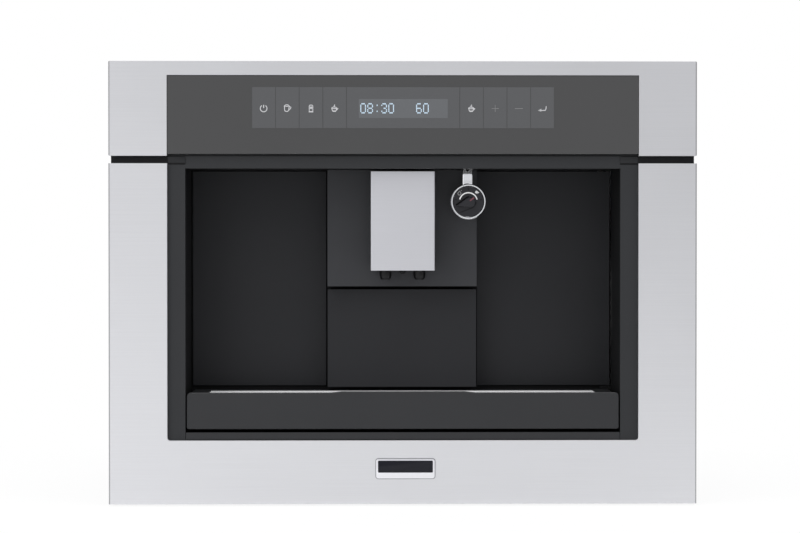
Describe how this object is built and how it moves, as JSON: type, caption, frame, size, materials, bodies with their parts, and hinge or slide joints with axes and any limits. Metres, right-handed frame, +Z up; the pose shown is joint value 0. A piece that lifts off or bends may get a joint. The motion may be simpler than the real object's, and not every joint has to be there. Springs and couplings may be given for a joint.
{
  "type": "built-in coffee machine",
  "caption": "Built-in bean-to-cup coffee machine with a steel front, open cup niche, height-adjustable spout, drip tray, steam tap, pull-out tank and drawer, on telescopic runners",
  "frame": {"origin": "middle of the footprint on the cabinet floor", "axes": "+X to the machine's right as seen from the front, +Y to the back, +Z up; the steel front faces -Y"},
  "size_m": [0.595, 0.4, 0.45],
  "materials": {
    "brushed_steel": "fine horizontal brushing, satin",
    "grille_steel": "satin stainless steel sheet",
    "galvanised": "zinc-coated sheet, dull grey",
    "chrome": "polished chrome",
    "boiler_steel": "plain stainless shell",
    "brass": "plain brass",
    "black_plastic": "fine-grained black moulding",
    "satin_black": "satin dark grey moulding",
    "control_glass": "tinted glass panel, taken as opaque",
    "clear_smoke": "smoke-tinted clear plastic",
    "board": "green circuit board with parts",
    "nylon": "natural white nylon",
    "hose": "milky silicone",
    "switch_red": "glossy red rocker"
  },
  "bodies": {
    "mounting_frame": {"cabinet_frame": "galvanised", "outer_rail_right": "galvanised", "outer_rail_left": "galvanised"},
    "middle_rails": {"middle_rail_right": "galvanised", "middle_rail_left": "galvanised"},
    "tank_body": {"tank_front": "satin_black", "water_tank": "clear_smoke"},
    "tank_flap_body": {"tank_flap": "satin_black"},
    "drawer_body": {"drawer_front": "satin_black", "grounds_bin": "black_plastic"},
    "door_body": {"service_door": "satin_black"},
    "tray_body": {"drip_tray": "satin_black"},
    "grille_body": {"cup_grille": "grille_steel"},
    "spout_carriage": {"spout_cover": "brushed_steel", "spout_body": "black_plastic", "spout_nozzle_right": "black_plastic", "spout_nozzle_left": "black_plastic"},
    "outlet_body": {"steam_outlet": "chrome"},
    "dial_body": {"dial_ring": "chrome", "tap_dial": "black_plastic"},
    "spindle_body": {"brew_spindle": "nylon"},
    "pinion_body": {"motor_pinion": "brass"},
    "chamber_body": {"brew_chamber": "nylon"},
    "burr_body": {"grinder_burr": "boiler_steel"},
    "grind_dial_body": {"grind_dial": "satin_black"},
    "hopper_lid_body": {"hopper_lid": "clear_smoke"},
    "powder_lid_body": {"powder_lid": "satin_black"},
    "switch_body": {"mains_switch": "switch_red"},
    "machine": {"inner_rail_right": "galvanised", "inner_rail_left": "galvanised", "base_pan": "galvanised", "side_panel_right": "galvanised", "side_panel_left": "galvanised", "rear_panel": "galvanised", "top_cover": "galvanised", "service_deck": "galvanised", "mains_inlet": "black_plastic", "upper_fascia": "brushed_steel", "lower_fascia": "brushed_steel", "front_surround": "black_plastic", "sill": "satin_black", "control_glass": "control_glass", "control_board": "board", "niche_liner": "satin_black", "spout_column": "satin_black", "tank_dock": "black_plastic", "steam_valve": "black_plastic", "steam_tube": "chrome", "brew_frame": "black_plastic", "brew_motor": "galvanised", "powder_chute": "black_plastic", "bean_hopper": "clear_smoke", "grinder_body": "black_plastic", "grinder_motor": "galvanised", "boiler": "boiler_steel", "water_pump": "brass", "power_board": "board", "pump_hose": "hose", "brew_hose": "hose", "steam_hose": "hose"}
  },
  "joints": [
    {"name": "machine_slide", "type": "slide", "parent": "mounting_frame", "child": "machine", "axis": [0, -1, 0], "range_m": [0, 0.35]},
    {"name": "middle_rail_slide", "type": "slide", "parent": "mounting_frame", "child": "middle_rails", "axis": [0, -1, 0], "range_m": [0, 0.175]},
    {"name": "tank_slide", "type": "slide", "parent": "machine", "child": "tank_body", "axis": [0, 1, 0], "range_m": [-0.16, 0]},
    {"name": "tank_flap_hinge", "type": "hinge", "parent": "tank_body", "child": "tank_flap_body", "pos_m": [-0.149, -0.0245, 0.3037], "axis": [-1, 0, 0], "range_deg": [0, 70]},
    {"name": "drawer_slide", "type": "slide", "parent": "machine", "child": "drawer_body", "axis": [0, 1, 0], "range_m": [-0.135, 0]},
    {"name": "door_hinge", "type": "hinge", "parent": "machine", "child": "door_body", "pos_m": [0.214, -0.0955, 0.23], "axis": [0, 0, 1], "range_deg": [0, 90]},
    {"name": "tray_slide", "type": "slide", "parent": "machine", "child": "tray_body", "axis": [0, -1, 0], "range_m": [0, 0.14]},
    {"name": "grille_lift", "type": "slide", "parent": "tray_body", "child": "grille_body", "axis": [0, 0, 1], "range_m": [0, 0.03]},
    {"name": "spout_slide", "type": "slide", "parent": "machine", "child": "spout_carriage", "axis": [0, 0, -1], "range_m": [0, 0.045]},
    {"name": "outlet_swivel", "type": "hinge", "parent": "machine", "child": "outlet_body", "pos_m": [0.067, -0.152, 0.2944], "axis": [0, 0, 1], "range_deg": [-40, 40]},
    {"name": "dial_turn", "type": "hinge", "parent": "machine", "child": "dial_body", "pos_m": [0.067, -0.173, 0.3084], "axis": [0, -1, 0], "range_deg": [0, 110]},
    {"name": "spindle_turn", "type": "hinge", "parent": "machine", "child": "spindle_body", "pos_m": [0.148, 0.012, 0.3], "axis": [0, 0, 1], "range_deg": [0, 1800]},
    {"name": "pinion_turn", "type": "hinge", "parent": "machine", "child": "pinion_body", "pos_m": [0.12175, 0.012, 0.313], "axis": [0, 0, 1], "range_deg": [-4500, 0]},
    {"name": "chamber_slide", "type": "slide", "parent": "machine", "child": "chamber_body", "axis": [0, 0, 1], "range_m": [0, 0.04]},
    {"name": "burr_spin", "type": "hinge", "parent": "machine", "child": "burr_body", "pos_m": [-0.012, 0.09, 0.31], "axis": [0, 0, 1], "continuous": true},
    {"name": "grind_dial_turn", "type": "hinge", "parent": "machine", "child": "grind_dial_body", "pos_m": [0.092, 0.13, 0.445], "axis": [0, 0, 1], "range_deg": [-60, 60]},
    {"name": "hopper_lid_hinge", "type": "hinge", "parent": "machine", "child": "hopper_lid_body", "pos_m": [-0.012, 0.1682, 0.4467], "axis": [-1, 0, 0], "range_deg": [0, 80]},
    {"name": "powder_lid_hinge", "type": "hinge", "parent": "machine", "child": "powder_lid_body", "pos_m": [0.148, -0.0568, 0.4467], "axis": [-1, 0, 0], "range_deg": [0, 80]},
    {"name": "switch_tip", "type": "hinge", "parent": "machine", "child": "switch_body", "pos_m": [-0.17, 0.191, 0.046], "axis": [1, 0, 0], "range_deg": [0, 12]}
  ],
  "couplings": [
    {"joint": "middle_rail_slide", "follows": "machine_slide", "ratio": 0.5},
    {"joint": "pinion_turn", "follows": "spindle_turn", "ratio": -2.5},
    {"joint": "chamber_slide", "follows": "spindle_turn", "m_per_rad": 0.0012732}
  ]
}
